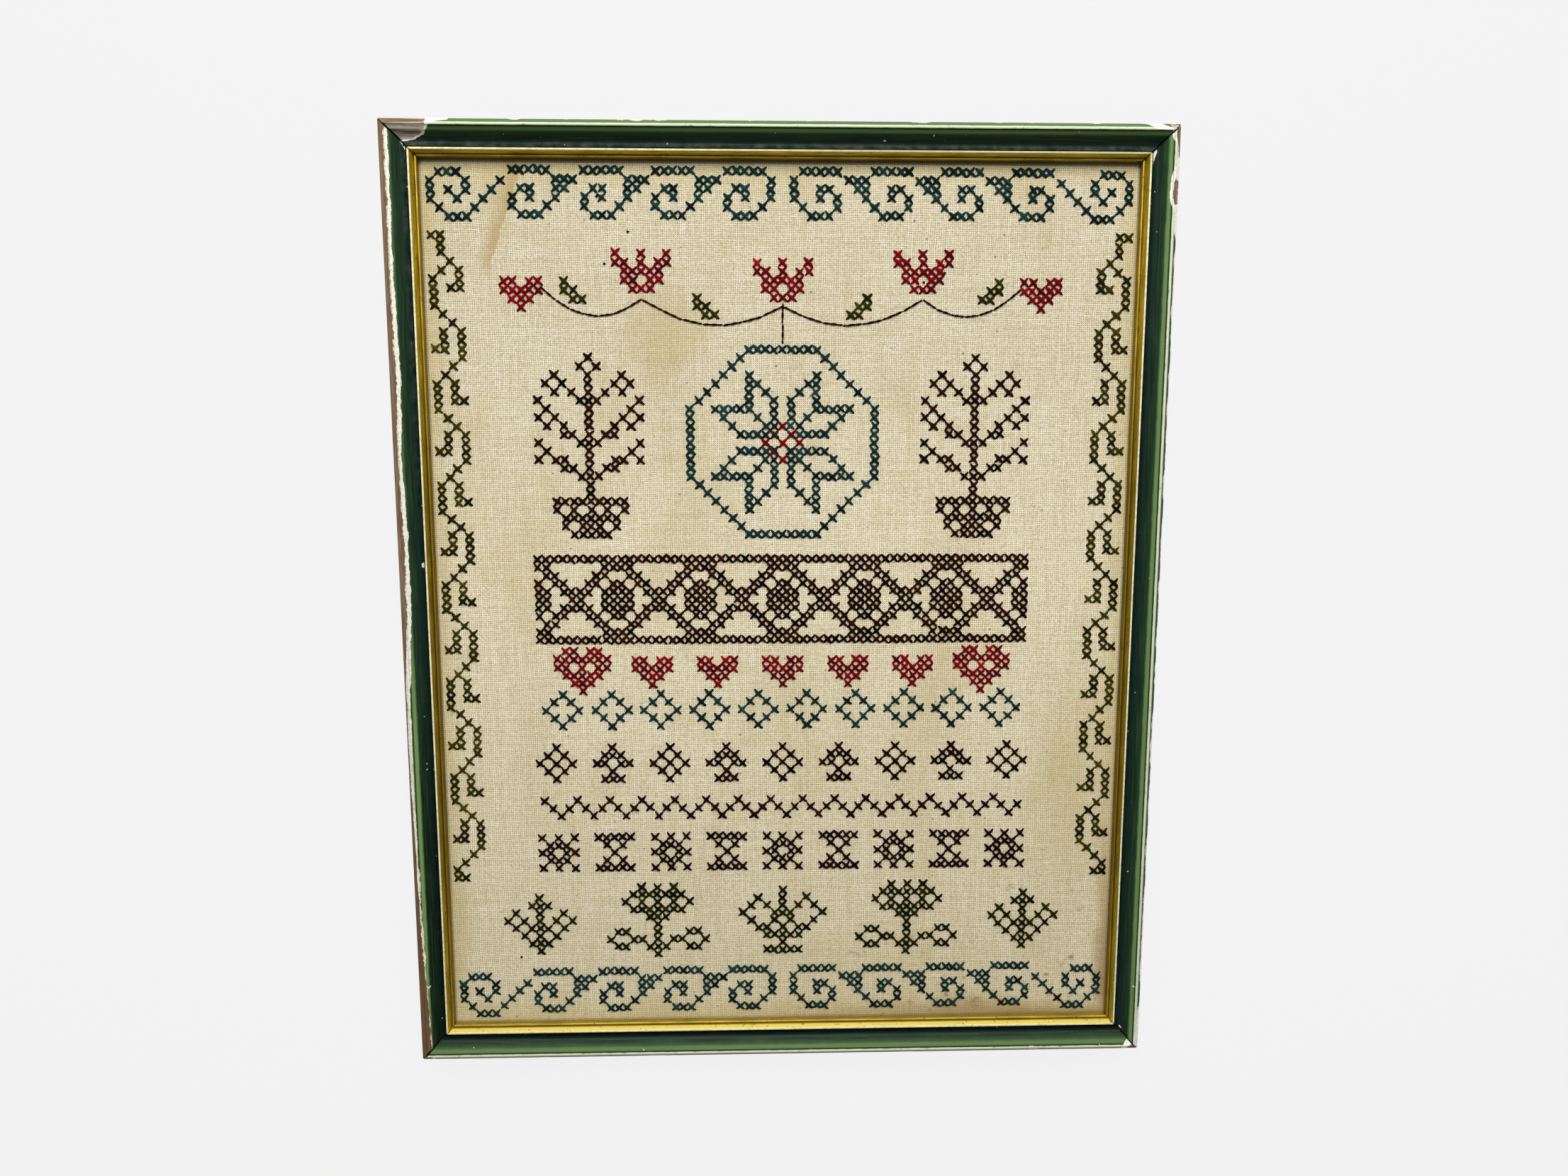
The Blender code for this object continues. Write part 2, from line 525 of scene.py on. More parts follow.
# %% Charts: the middle
STAR_QUARTER = """
....X....
....XX...
....X.X..
....X..X.
XXXXX..X.
.X...X.X.
..X...XX.
...XXXXX.
.........
"""
OCTAGON_QUARTER = """
.......XXXXX
......X.....
.....X......
....X.......
...X........
..X.........
.X..........
X...........
X...........
X...........
X...........
X...........
"""
TREE = """
......X......
.....X.X.....
..X...X...X..
.X.X..X..X.X.
..X.X.X.X.X..
X....XXX....X
.X....X....X.
X.X...X...X.X
.X.X..X..X.X.
...XX.X.XX...
X....XXX....X
.X....X....X.
X.XX..X..XX.X
...XX.X.XX...
.....XXX.....
......X......
......X......
..XXXXXXXXX..
..X.X.X.X.X..
...XXXXXXX...
...X.XXX.X...
....XXXXX....
"""
DIAPER = """
XXXXXXXXXX
XX......XX
.XX....XX.
X.XX..XX.X
XX.XXXX.XX
XX..XX..XX
XX.XXXX.XX
X.XX..XX.X
.XX....XX.
XX......XX
XXXXXXXXXX
"""
HEART = """
.XX.XX.
XXXXXXX
XX.X.XX
.XXXXX.
..XXX..
...X...
"""
TULIP = """
X..X..X
XX.X.XX
.XXXXX.
.XX.XX.
..XXX..
"""
SMALL_HEART = """
XX.XX
XXXXX
.XXX.
..X..
"""
LEAF = """
X..
XX.
.XX
"""
DIAMOND_LINK = """
..X...
.X.X..
X...X.
.X.X..
..X...
"""
SMALL_DIAMOND = """
..X..
.X.X.
X.X.X
.X.X.
..X..
"""
SMALL_TREE = """
..X..
.XXX.
XX.XX
..X..
.XXX.
"""
SMALL_STAR = """
X.X.X
.XXX.
XX.XX
.XXX.
X.X.X
"""
HOURGLASS = """
XXXXX
.X.X.
..X..
.X.X.
XXXXX
"""
ZIGZAG = """
X...
.X.X
..X.
"""
CARNATION = """
....X.X.X....
...XXXXXXX...
..X.X.X.X.X..
...XXXXXXX...
.....XXX.....
......X......
.XX...X...XX.
X..XX.X.XX..X
.XX..XXX..XX.
......X......
"""
SPRIG = """
....X....
...XXX...
.X..X..X.
X.X.X.X.X
.X.XXX.X.
..X.X.X..
...XXX...
....X....
"""
FAN_PLANT = """
.....X.....
..X..X..X..
.X.X.X.X.X.
X...XXX...X
.X..X.X..X.
..XX.X.XX..
...XXXXX...
.....X.....
...XXXXX...
"""

# %% Placing the charts
crosses = {}


def lay(chart, colour, column, row, mirrored=False):
    """Count a chart out on the cloth: column and row are those of its top left cross."""
    lines = chart.split()
    for down, line in enumerate(lines):
        for along, sign in enumerate(reversed(line) if mirrored else line):
            if sign == "X":
                crosses.setdefault(colour, []).append((column + along, row + down))


def lay_pair(chart, colour, column, row):
    """The same chart on the left half and, mirrored, on the right half."""
    width = len(chart.split()[0])
    lay(chart, colour, column, row)
    lay(chart, colour, CROSSES_WIDE - column - width, row, mirrored=True)


def unfold(quarter):
    """A whole chart from its top left quarter, which has the middle row and column."""
    left = quarter.split()
    top = [line + line[-2::-1] for line in left]
    return "\n".join(top + top[-2::-1])


for border_row, end_drop in ((0.69, 0.25), (99.1, 0.5)):
    for start in (10.0, 18.3, 26.5):
        lay_pair(SCROLL, "teal", start, border_row)
    lay_pair(SCROLL_LAST, "teal", 34.8, border_row)
    lay_pair(SCROLL_END, "teal", -0.3, border_row + end_drop)

VINE_STEP = 12.05
VINE_TOP = 12.0
lay_pair(VINE_HEAD, "olive", 0.6, VINE_TOP - 4.0)
for repeat in range(1, 6):
    lay_pair(VINE, "olive", 0.6, VINE_TOP + VINE_STEP * repeat)
lay_pair(VINE_FOOT, "olive", 0.6, VINE_TOP + VINE_STEP * 6)

CENTRE = CROSSES_WIDE / 2
MEDALLION_ROW = 21.0
lay(unfold(OCTAGON_QUARTER), "teal", CENTRE - 11.5, MEDALLION_ROW)
lay(unfold(STAR_QUARTER), "teal", CENTRE - 8.5, MEDALLION_ROW + 3)
lay(SMALL_DIAMOND, "crimson", CENTRE - 2.5, MEDALLION_ROW + 9)
lay_pair(TREE, "brown", 12.2, MEDALLION_ROW + 1)
lay_pair(SMALL_HEART, "crimson", CENTRE - 33.0, 13.2)
lay(TULIP, "crimson", CENTRE - 3.5, 11.0)
lay_pair(TULIP, "crimson", CENTRE - 20.0, 10.0)
lay_pair(LEAF, "olive", CENTRE - 10.5, 15.0)
lay_pair(LEAF, "olive", CENTRE - 26.0, 13.2)
for link in range(6):
    lay(DIAPER, "brown", CENTRE - 30.0 + 10.0 * link, 46.0)
lay_pair(HEART, "crimson", CENTRE - 28.0, 57.4)
for heart in range(5):
    lay(SMALL_HEART, "crimson", CENTRE - 18.5 + 8.0 * heart, 58.6)
for link in range(10):
    lay(DIAMOND_LINK, "teal", CENTRE - 29.5 + 6.0 * link, 62.8)
for band_row, motifs in ((69.6, (SMALL_DIAMOND, SMALL_TREE)), (81.2, (SMALL_STAR, HOURGLASS))):
    for along in range(9):
        lay(motifs[along % 2], "plum", CENTRE - 30.5 + 7.0 * along, band_row)
for link in range(15):
    lay(ZIGZAG, "plum", CENTRE - 30.0 + 4.0 * link, 76.4)
lay_pair(SPRIG, "moss", 6.6, 89.2)
lay_pair(CARNATION, "moss", 19.4, 87.8)
lay(FAN_PLANT, "moss", CENTRE - 5.5, 88.4)
print("crosses:", {colour: len(places) for colour, places in crosses.items()})

# %% [markdown]
# One cross is two slanting stitches over four threads each way, the upper one lying across the lower.
# Each stitch is a round thread that comes up through a hole, swells and sinks again at the far hole. It
# starts as a six-sided cylinder, cut along its length, and its rings are moved. Twelve slightly
# different crosses keep the work from looking stamped.

# %% Model the crosses
STRAND_SIDES = 6
STRAND_CUTS = 4
STRAND_R = 0.57 * MM
STRAND_FLAT = 0.62
CROSS_REACH = math.hypot(CROSS_W, CROSS_H) / 2
VARIANTS = 12
CROWN = 0.36
UPPER_LIFT = 0.30
END_DIP = 0.06
stitch_chance = random.Random(11)


def add_strand(bm, half, radius, centre_line, turn=0.0, cuts=STRAND_CUTS, flat=STRAND_FLAT):
    """Add a thread from -half to half along X, then turn it. centre_line gives width, bow and height."""
    strand = bmesh.new()
    uv = strand.loops.layers.uv.new("thread")
    bmesh.ops.create_cone(
        strand, cap_ends=True, segments=STRAND_SIDES, radius1=radius, radius2=radius, depth=2.0 * half
    )
    lengthwise = [edge for edge in strand.edges if abs(edge.verts[0].co.z - edge.verts[1].co.z) > half]
    bmesh.ops.subdivide_edges(strand, edges=lengthwise, cuts=cuts)
    laid_down = Matrix.Rotation(math.pi / 2, 3, "Y")
    bmesh.ops.rotate(strand, verts=strand.verts, cent=(0, 0, 0), matrix=laid_down)
    for face in strand.faces:
        face.smooth = True
        for loop in face.loops:
            loop[uv].uv = (loop.vert.co.x / MM, loop.vert.co.y / MM)
    for vert in strand.verts:
        share, bow, height = centre_line(vert.co.x / half)
        vert.co.y = vert.co.y * share + bow
        vert.co.z = vert.co.z * share * flat + height
    bmesh.ops.rotate(strand, verts=strand.verts, cent=(0, 0, 0), matrix=Matrix.Rotation(turn, 3, "Z"))
    mesh = mesh_from(strand, "strand")
    bm.from_mesh(mesh)
    bpy.data.meshes.remove(mesh)


def cross_mesh(number):
    bm = bmesh.new()
    for order, slant in enumerate((math.radians(45.0), math.radians(-45.0))):
        half = CROSS_REACH * stitch_chance.uniform(1.00, 1.08)
        radius = STRAND_R * stitch_chance.uniform(0.86, 1.10)
        bow = stitch_chance.uniform(-0.10, 0.10) * MM
        crown = (CROWN + UPPER_LIFT * order) * MM
        lean = stitch_chance.uniform(-0.08, 0.08)

        def centre_line(t):
            share = 1.0 - 0.44 * abs(t - lean) ** 2.2
            return share, bow * (1.0 - t * t), crown * (1.0 - t ** 4) - END_DIP * MM * t ** 4

        add_strand(bm, half, radius, centre_line, slant + math.radians(stitch_chance.uniform(-3.0, 3.0)))
    return mesh_from(bm, f"cross_{number:02d}")


def pattern_box(name, meshes):
    """A hidden collection of shapes for Geometry Nodes to choose from."""
    box = bpy.data.collections.new(name)
    for number, mesh in enumerate(meshes):
        box.objects.link(bpy.data.objects.new(f"{name}_{number:02d}", mesh))
    return box


cross_box = pattern_box("cross_shapes", [cross_mesh(i) for i in range(VARIANTS)])

# %% [markdown]
# Geometry Nodes puts a cross on every counted place. Each place is a lone vertex that carries which
# shape to take, how far to turn it, its size and a tint. The result is realized into one plain mesh for
# each colour of thread, so that no live modifier is left.

# %% Helper: sew a colour
def sewing_tree(box):
    tree = bpy.data.node_groups.new("sew_" + box.name, "GeometryNodeTree")
    tree.interface.new_socket("Geometry", in_out="INPUT", socket_type="NodeSocketGeometry")
    tree.interface.new_socket("Geometry", in_out="OUTPUT", socket_type="NodeSocketGeometry")
    places = tree.nodes.new("NodeGroupInput")
    result = tree.nodes.new("NodeGroupOutput")
    shapes = tree.nodes.new("GeometryNodeCollectionInfo")
    shapes.inputs["Collection"].default_value = box
    shapes.inputs["Separate Children"].default_value = True
    shapes.inputs["Reset Children"].default_value = True
    put = tree.nodes.new("GeometryNodeInstanceOnPoints")
    put.inputs["Pick Instance"].default_value = True
    real = tree.nodes.new("GeometryNodeRealizeInstances")
    for name, kind, socket in (
        ("pick", "INT", "Instance Index"),
        ("turn", "FLOAT_VECTOR", "Rotation"),
        ("size", "FLOAT_VECTOR", "Scale"),
    ):
        carried = tree.nodes.new("GeometryNodeInputNamedAttribute")
        carried.data_type = kind
        carried.inputs["Name"].default_value = name
        tree.links.new(carried.outputs["Attribute"], put.inputs[socket])
    tree.links.new(places.outputs[0], put.inputs["Points"])
    tree.links.new(shapes.outputs[0], put.inputs["Instance"])
    tree.links.new(put.outputs[0], real.inputs[0])
    tree.links.new(real.outputs[0], result.inputs[0])
    return tree


def sew(name, tree, stitches, material):
    """stitches: a list of (place, turn, size, pick, tint)."""
    guide_mesh = bpy.data.meshes.new(name + "_places")
    guide_mesh.from_pydata([stitch[0] for stitch in stitches], [], [])
    for label, kind, field, column in (
        ("turn", "FLOAT_VECTOR", "vector", 1),
        ("size", "FLOAT_VECTOR", "vector", 2),
        ("pick", "INT", "value", 3),
        ("tint", "FLOAT", "value", 4),
    ):
        layer = guide_mesh.attributes.new(label, kind, "POINT")
        for stitch, item in zip(stitches, layer.data):
            setattr(item, field, stitch[column])
    guide = bpy.data.objects.new(name + "_places", guide_mesh)
    scene.collection.objects.link(guide)
    guide.modifiers.new("sew", "NODES").node_group = tree
    graph = bpy.context.evaluated_depsgraph_get()
    mesh = bpy.data.meshes.new_from_object(guide.evaluated_get(graph), depsgraph=graph)
    mesh.name = name
    for label in ("turn", "size", "pick"):
        if label in mesh.attributes:
            mesh.attributes.remove(mesh.attributes[label])
    bpy.data.objects.remove(guide, do_unlink=True)
    return piece_of(mesh, name, material, "linen")


# %% [markdown]
# The thread is stranded cotton that has gone matt: several fine plies that lie side by side and twist
# slowly, with painted shade in the valleys between them. The material reads the thread's own UV map, whose
# first number runs along the stitch and whose second runs across it, so the plies follow every stitch.
# The tint makes one stitch a little paler or darker than the next.

# %% Thread finish
def thread_finish(name, dark, light):
    material, shader = finish(name, 0.7)
    shader.inputs["Specular IOR Level"].default_value = 0.04
    run = node("UVMap", uv_map="thread").outputs["UV"]
    axes = node("SeparateXYZ", {0: run})
    lean = times(axes.outputs["X"], 1.7)
    across = times(axes.outputs["Y"], 15.0)
    ply = absolute(calc("SINE", plus(lean, across)))
    fuzz = streaks(run, (1.2, 7.0, 1.0), 3.0)
    # The valleys between plies are painted darker as their shade; fuzz and tint are the thread's own
    # unevenness
    tone = plus(plus(times(ply, 0.35), times(fuzz, 0.4)), reading("tint"))
    wire(blend(fade(tone, 0.15, 1.05), dark, light), shader.inputs["Base Color"])
    raise_by(shader, plus(ply, fuzz), 0.6, 0.12 * MM)
    return material


THREAD_TONES = {
    "teal": (shade(2, 20, 20), shade(42, 86, 82)),
    "olive": (shade(12, 12, 0), shade(90, 84, 0)),
    "moss": (shade(3, 5, 0), shade(52, 55, 0)),
    "crimson": (shade(80, 0, 6), shade(182, 14, 28)),
    "brown": (shade(5, 1, 0), shade(66, 28, 12)),
    "plum": (shade(6, 1, 2), shade(58, 22, 20)),
}
threads = {name: thread_finish("thread_" + name, *tones) for name, tones in THREAD_TONES.items()}

# %% Sew the crosses
cross_tree = sewing_tree(cross_box)
STRAY_MM = 0.10
STRAY_TURN = 2.5
STRAY_TINT = 0.10


def counted_place(column, row):
    """The middle of a counted cross, on the cloth's face."""
    x = (column + 0.5 - CROSSES_WIDE / 2) * CROSS_W
    y = (CROSSES_HIGH / 2 - row - 0.5) * CROSS_H
    return x, y


def cross_stitches(places):
    stitches = []
    for column, row in places:
        x, y = counted_place(column, row)
        x += stitch_chance.gauss(0.0, STRAY_MM) * MM
        y += stitch_chance.gauss(0.0, STRAY_MM) * MM
        grow = stitch_chance.uniform(0.95, 1.06)
        size = (grow * stitch_chance.uniform(0.95, 1.05), grow, stitch_chance.uniform(0.85, 1.15))
        turn = (0.0, 0.0, math.radians(stitch_chance.gauss(0.0, STRAY_TURN)))
        pick = stitch_chance.randrange(VARIANTS)
        tint = stitch_chance.gauss(0.0, STRAY_TINT)
        stitches.append(((x, y, LINEN_TOP + cloth_rise(x, y)), turn, size, pick, tint))
    return stitches


for colour_name, places in crosses.items():
    stitches = cross_stitches(places)
    sew("crosses_" + colour_name, cross_tree, stitches, threads[colour_name])

# %% [markdown]
# The garland and the line it hangs the star from are back stitch: long stitches end to end, each a loose
# pair of plies that wind round each other. Four long stitches are modelled, lying along X, and are laid
# along each line, stretched a little to fit. Cut very short, they are also the crumbs of stray thread.

# %% Back stitches
LONG_STITCH = 6.4 * MM
PLY_R = 0.24 * MM
PLY_OFFSET = 0.20 * MM
PLY_TURNS = 1.25
LONG_VARIANTS = 4


def long_stitch_mesh(number):
    bm = bmesh.new()
    start = stitch_chance.uniform(0.0, math.tau)
    for ply in range(2):
        phase = start + math.pi * ply

        def centre_line(t):
            angle = phase + math.pi * PLY_TURNS * t
            lift = 0.32 * MM * (1.0 - t ** 4) - 0.08 * MM * t ** 4
            return 1.0 - 0.35 * t ** 4, PLY_OFFSET * math.cos(angle), lift + PLY_OFFSET * math.sin(angle)

        add_strand(bm, LONG_STITCH / 2, PLY_R, centre_line, cuts=10, flat=1.0)
    return mesh_from(bm, f"long_stitch_{number:02d}")


long_box = pattern_box("long_shapes", [long_stitch_mesh(i) for i in range(LONG_VARIANTS)])
long_tree = sewing_tree(long_box)


def back_stitches(line):
    """Stitches end to end along a line of counted places."""
    points = [Vector(counted_place(*place)) for place in line]
    stitches = []
    for start, end in zip(points, points[1:]):
        span = end - start
        count = max(1, round(span.length / LONG_STITCH))
        for i in range(count):
            middle = start + span * ((i + 0.5) / count)
            length = span.length / count * stitch_chance.uniform(0.97, 1.02)
            place = (middle.x, middle.y, LINEN_TOP + cloth_rise(middle.x, middle.y))
            turn = (0.0, 0.0, math.atan2(span.y, span.x) + math.radians(stitch_chance.gauss(0.0, 1.5)))
            size = (length / LONG_STITCH, 1.0, 1.0)
            tint = stitch_chance.gauss(0.0, STRAY_TINT)
            stitches.append((place, turn, size, stitch_chance.randrange(LONG_VARIANTS), tint))
    return stitches


GARLAND_SAG = 2.6
GARLAND_NODES = ((0.0, 16.0), (16.5, 15.2), (28.2, 13.9))
MIDDLE_COLUMN = CENTRE - 0.5


def swag(start, end, sag, steps=7):
    """A hanging line between two counted places."""
    line = []
    for i in range(steps + 1):
        t = i / steps
        row = start[1] + (end[1] - start[1]) * t + sag * 4.0 * t * (1.0 - t)
        line.append((start[0] + (end[0] - start[0]) * t, row))
    return line


garland = back_stitches([(MIDDLE_COLUMN, 15.6), (MIDDLE_COLUMN, 20.4)])
for side in (-1, 1):
    places = [(MIDDLE_COLUMN + side * out, row) for out, row in GARLAND_NODES]
    for start, end in zip(places, places[1:]):
        garland += back_stitches(swag(start, end, GARLAND_SAG))

CRUMBS_MM = (
    (-57.5, 143.2), (-66.4, 131.6), (-68.7, 155.8), (60.9, 128.7), (53.1, 125.2),
    (-98.6, -137.9), (-106.0, -141.3),
)
for crumb_x, crumb_y in CRUMBS_MM:
    turn = (0.0, 0.0, stitch_chance.uniform(0.0, math.pi))
    size = (stitch_chance.uniform(0.10, 0.20), 1.2, 0.8)
    place = (crumb_x * MM, crumb_y * MM, LINEN_TOP)
    garland.append((place, turn, size, stitch_chance.randrange(LONG_VARIANTS), -0.2))
sew("back_stitches_brown", long_tree, garland, threads["brown"])

# %% [markdown]
# The frame's section is drawn once, as points that give the distance out from the edge of the opening and
# the height above the back. A spin with no angle and a small shift sweeps it straight along X, and the
# ends are then sheared to the mitres. The stretch is cut every millimetre, because chips are pressed
# into it afterwards.

# %% Moulding sections
SIGHT_W = CROSSES_WIDE * CROSS_W
SIGHT_H = CROSSES_HIGH * CROSS_H
FACE_W = 12.1 * MM


def arc(centre, radius, start_deg, end_deg, points):
    found = []
    for i in range(points):
        angle = math.radians(start_deg + (end_deg - start_deg) * i / (points - 1))
        found.append((centre[0] + radius * math.cos(angle), centre[1] + radius * math.sin(angle)))
    return found


def scoop(start, low, end, points):
    """The hollow of the moulding: two quarter curves that share the lowest point."""
    found = []
    for i in range(points):
        s = start[0] + (end[0] - start[0]) * i / (points - 1)
        side = start if s < low[0] else end
        share = min(abs(s - low[0]) / abs(side[0] - low[0]), 1.0)
        found.append((s, low[1] + (side[1] - low[1]) * share ** 2))
    return found


def run_to(points, end, steps):
    """Go on from the last point to end in a straight line, in equal steps."""
    start = points[-1]
    for i in range(1, steps + 1):
        t = i / steps
        points.append((start[0] + (end[0] - start[0]) * t, start[1] + (end[1] - start[1]) * t))


def rail_section():
    """In millimetres: scoop, slope, quirk, crest, outer slope, side, back and rabbet."""
    points = [(3.0, 6.6)]
    run_to(points, (3.0, 11.1), 2)
    points += scoop((3.08, 11.2), (4.9, 10.3), (8.0, 13.9), 22)
    run_to(points, (9.35, 14.82), 4)
    points += arc((10.0, 15.0), 0.6, 170.0, 12.0, 9)
    run_to(points, (12.0, 13.7), 6)
    run_to(points, (12.1, 13.5), 1)
    run_to(points, (12.1, 0.6), 12)
    run_to(points, (11.5, 0.0), 2)
    run_to(points, (8.0, 0.0), 3)
    run_to(points, (8.0, 6.6), 4)
    return [(s * MM, z * MM) for s, z in points]


def slip_section():
    """In millimetres: sight bead, groove, gilt face that leans out at its top, and flat cream fillet."""
    points = [(0.0, 6.6)]
    points += arc((0.5, 8.6), 0.5, 180.0, 25.0, 11)
    points.append((1.0, 8.7))
    for i in range(1, 8):
        t = i / 8
        points.append((1.0 + 0.75 * (0.35 * t + 0.65 * t ** 2.6), 8.7 + 2.7 * t))
    points += [(1.75, 11.4), (1.82, 11.66), (1.95, 11.8)]
    run_to(points, (2.5, 11.8), 2)
    points += [(2.64, 11.74), (2.7, 11.6)]
    run_to(points, (2.7, 6.6), 2)
    return [(s * MM, z * MM) for s, z in points]


print("rail section:", len(rail_section()), "points, slip section:", len(slip_section()), "points")

# %% Helper: sweep a side of the frame
MITRE_GAPS = {
    "top_left": (0.45 * MM, 0.55 * MM),
    "top_right": (0.32 * MM, 0.70 * MM),
    "bottom_right": (0.45 * MM, 0.50 * MM),
    "bottom_left": (0.45 * MM, 0.55 * MM),
}
SIDES = {
    side: {"turn": turn, "reach": reach, "half": half, "ends": ends}
    for side, turn, reach, half, ends in (
        ("top", 0.0, SIGHT_H / 2, SIGHT_W / 2, ("top_left", "top_right")),
        ("right", -90.0, SIGHT_W / 2, SIGHT_H / 2, ("top_right", "bottom_right")),
        ("bottom", 180.0, SIGHT_H / 2, SIGHT_W / 2, ("bottom_right", "bottom_left")),
        ("left", 90.0, SIGHT_W / 2, SIGHT_H / 2, ("bottom_left", "top_left")),
    )
}
SWEEP_STEP = 1.05 * MM
MITRE_SHUT_GAP = 0.04 * MM
PAINTED_LIGHT_SIDE = "bottom"


def mitre_end(half, distance, corner, shut=False):
    """Half the side's length at a distance out, less half of the corner's gap."""
    outer_gap, inner_gap = MITRE_GAPS[corner]
    gap = MITRE_SHUT_GAP if shut else inner_gap + (outer_gap - inner_gap) * distance / FACE_W
    return half + distance - gap / math.sqrt(2.0)


def shut_mitres(bm, layout, lip, out):
    """The joint gapes at the surface only: each end face is inset, and its middle meets the other side."""
    for end in [face for face in bm.faces if len(face.verts) > 4]:
        corner = layout["ends"][1 if end.calc_center_median().x > 0 else 0]
        bmesh.ops.inset_region(bm, faces=[end], thickness=lip, use_even_offset=True)
        for vert in end.verts:
            reach = mitre_end(layout["half"], vert.co.y - layout["reach"], corner, shut=True)
            vert.co.x = math.copysign(reach, vert.co.x)
            vert[out] = 0.0


def swept_side(side, section, mitre_lip):
    """Sweep a section along one side. Each point keeps its distance out and its run round the section."""
    layout = SIDES[side]
    steps = round(2.0 * (layout["half"] + FACE_W) / SWEEP_STEP)
    bm = bmesh.new()
    out = bm.verts.layers.float.new("out")
    girth = bm.verts.layers.float.new("girth")
    around = 0.0
    ring = []
    for s, z in section:
        vert = bm.verts.new((0.0, layout["reach"] + s, z))
        if ring:
            around += (vert.co - ring[-1].co).length
        vert[out] = s / MM
        vert[girth] = around / MM
        ring.append(vert)
    edges = [bm.edges.new(pair) for pair in zip(ring, ring[1:] + ring[:1])]
    shift = (1.0 / steps, 0, 0)
    bmesh.ops.spin(
        bm, geom=ring + edges, cent=(0, 0, 0), axis=(1, 0, 0), dvec=shift, angle=0.0, steps=steps
    )
    bmesh.ops.holes_fill(bm, edges=[e for e in bm.edges if e.is_boundary], sides=0)
    for vert in bm.verts:
        distance = vert.co.y - layout["reach"]
        left = -mitre_end(layout["half"], distance, layout["ends"][0])
        right = mitre_end(layout["half"], distance, layout["ends"][1])
        vert.co.x = left + (right - left) * vert.co.x
    bmesh.ops.recalc_face_normals(bm, faces=bm.faces)
    shut_mitres(bm, layout, mitre_lip, out)
    uv = bm.loops.layers.uv.new("run")
    for face in bm.faces:
        face.smooth = len(face.verts) == 4
        for loop in face.loops:
            loop[uv].uv = (loop.vert.co.x / MM, loop.vert[girth])
    # Marks the side whose slip is painted brighter, as painted light
    painted_light_side = bm.verts.layers.float.new("painted_light_side")
    for vert in bm.verts:
        vert[painted_light_side] = 1.0 if side == PAINTED_LIGHT_SIDE else 0.0
    turn = Matrix.Rotation(math.radians(layout["turn"]), 3, "Z")
    bmesh.ops.rotate(bm, verts=bm.verts, cent=(0, 0, 0), matrix=turn)
    return bm


# %% [markdown]
# The wear is what makes this frame old. Each chip is an outline of a few points on the face, in
# millimetres from the picture's middle. Every point of the mesh gets its distance inside the nearest
# chip, once for chips down to the white gesso and once for chips down to the wood. The mesh sinks where
# that distance is positive, least at the outer edge so that the outline keeps its line, and the material
# turns the same numbers into ragged edges of paint. The outer edge is stripped too, most on the left.

# %% Chips and worn edges
WOOD_CHIPS = {
    "top": (
        ((-148, 184), (-128.5, 184), (-128.3, 178.3), (-129.6, 176.4), (-131.0, 175.8), (-134.0, 174.7),
         (-137.6, 174.2), (-141, 172)),
        ((141.2, 184), (141.6, 179.6), (143.6, 178.4), (148, 176)),
    ),
    "right": (
        ((148, 180), (143.0, 179.6), (143.4, 176.2), (144.6, 172.8), (145.0, 169.0), (148, 168)),
        ((144.6, 161.4), (143.2, 160.8), (142.8, 158.4), (142.9, 155.0), (143.6, 152.2), (145.2, 152.6),
         (145.4, 160.4)),
    ),
    "bottom": (
        ((140.6, -183), (141.2, -179.2), (142.8, -178.2), (147, -184)),
        ((-146, -184), (-143.3, -178.6), (-141.2, -180.2), (-141.4, -184)),
    ),
    "left": (),
}
GESSO_CHIPS = {
    "top": (
        ((-148, 184), (-120.3, 184), (-120.3, 180.2), (-123.5, 179.9), (-126.5, 178.9), (-127.6, 177.6),
         (-129.3, 176.0), (-130.9, 175.5), (-133.8, 174.3), (-137.6, 173.7), (-141, 172)),
        ((131.8, 184), (132.6, 181.2), (134.8, 179.7), (136.4, 178.6), (141.6, 178.5), (142.8, 177.4),
         (148, 176)),
    ),
    "right": (
        ((148, 184), (141.3, 178.3), (142.8, 175.1), (144.3, 172.7), (143.4, 168.4), (143.1, 165.1),
         (142.5, 162.9), (142.1, 158.5), (142.2, 154.5), (142.8, 151.6), (143.7, 150.3), (143.7, 143.5),
         (144.9, 140.6), (148, 139)),
        ((138.5, 173.4), (135.9, 170.9), (136.15, 166.0), (136.9, 168.6), (137.9, 171.4)),
        ((148, -184), (145.0, -184), (142.9, -176.0), (143.5, -170.0), (144.3, -163.0), (148, -160)),
        ((138.6, -172.0), (138.1, -172.9), (139.9, -174.9), (140.1, -174.5)),
    ),
    "bottom": (
        ((138.2, -184), (138.6, -178.6), (140.6, -176.6), (142.2, -176.9), (148, -184)),
        ((98.8, -178.9), (101.0, -178.2), (104.2, -178.5), (105.4, -179.4), (103.8, -180.2),
         (100.0, -180.0)),
        ((-147, -184), (-143.6, -177.9), (-139.9, -179.4), (-139.6, -184)),
        ((-52.0, -184), (-51.0, -180.6), (-47.5, -180.3), (-46.6, -184)),
    ),
    "left": (
        ((-138.7, 173.9), (-136.3, 171.5), (-136.7, 170.2), (-137.7, 171.8)),
        ((-137.6, 20.2), (-136.4, 20.6), (-135.8, 19.4), (-136.6, 18.3), (-137.5, 18.6)),
        ((-143.0, -149.2), (-140.9, -149.6), (-140.8, -150.3), (-142.8, -150.2)),
    ),
}
NEVER = -6.0
EDGE_Z = 13.5
OUTER_FACE_OUT = 12.05
LEAST_OUT = 3.2
LEAST_Z = 0.4 * MM
GESSO_SINK = 0.16
WOOD_SINK = 0.42
HELD_FROM_OUT = 11.0
HELD_SHARE = 0.85


def clamped(value):
    return max(0.0, min(1.0, value))


